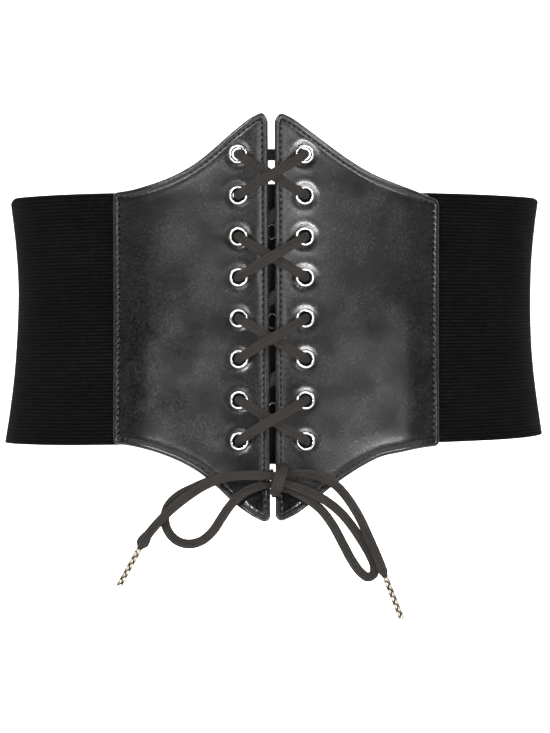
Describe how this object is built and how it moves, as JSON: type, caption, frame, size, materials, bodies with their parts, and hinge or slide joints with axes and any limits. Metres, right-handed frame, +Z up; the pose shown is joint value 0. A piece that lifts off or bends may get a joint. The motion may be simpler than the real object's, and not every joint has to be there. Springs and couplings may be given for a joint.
{
  "type": "corset belt",
  "caption": "Wide elastic waist belt with pointed faux-leather front panels, metal eyelets, a laced cord and a bow, in the round shape that it has when worn.",
  "frame": {"origin": "middle of the waist hollow, half-way up the elastic band", "axes": "+X to the right as seen from the front, +Y from the laced front to the back, +Z up along the wearer"},
  "size_m": [0.2835, 0.2103, 0.248],
  "materials": {
    "leather": "satin black faux leather with a stitched and rolled edge",
    "elastic": "matt black ribbed elastic webbing",
    "cord": "brownish black braided cord",
    "nickel": "polished nickel",
    "steel": "plain wire",
    "old_brass": "aged gold metal with an embossed lattice"
  },
  "bodies": {
    "root": {"left_panel": "leather", "right_panel": "leather", "elastic_band": "elastic", "backing_strip": "elastic", "hook_top": "steel", "hook_middle": "steel", "hook_bottom": "steel", "eyelet_left_1": "nickel", "eyelet_left_2": "nickel", "eyelet_left_3": "nickel", "eyelet_left_4": "nickel", "eyelet_left_5": "nickel", "eyelet_left_6": "nickel", "eyelet_left_7": "nickel", "eyelet_left_8": "nickel", "eyelet_right_1": "nickel", "eyelet_right_2": "nickel", "eyelet_right_3": "nickel", "eyelet_right_4": "nickel", "eyelet_right_5": "nickel", "eyelet_right_6": "nickel", "eyelet_right_7": "nickel", "eyelet_right_8": "nickel", "lacing": "cord", "bow_knot": "cord", "bow_loop_left": "cord", "bow_loop_right": "cord", "bow_end_left": "cord", "bow_end_right": "cord", "aglet_left": "old_brass", "aglet_right": "old_brass"}
  },
  "joints": []
}
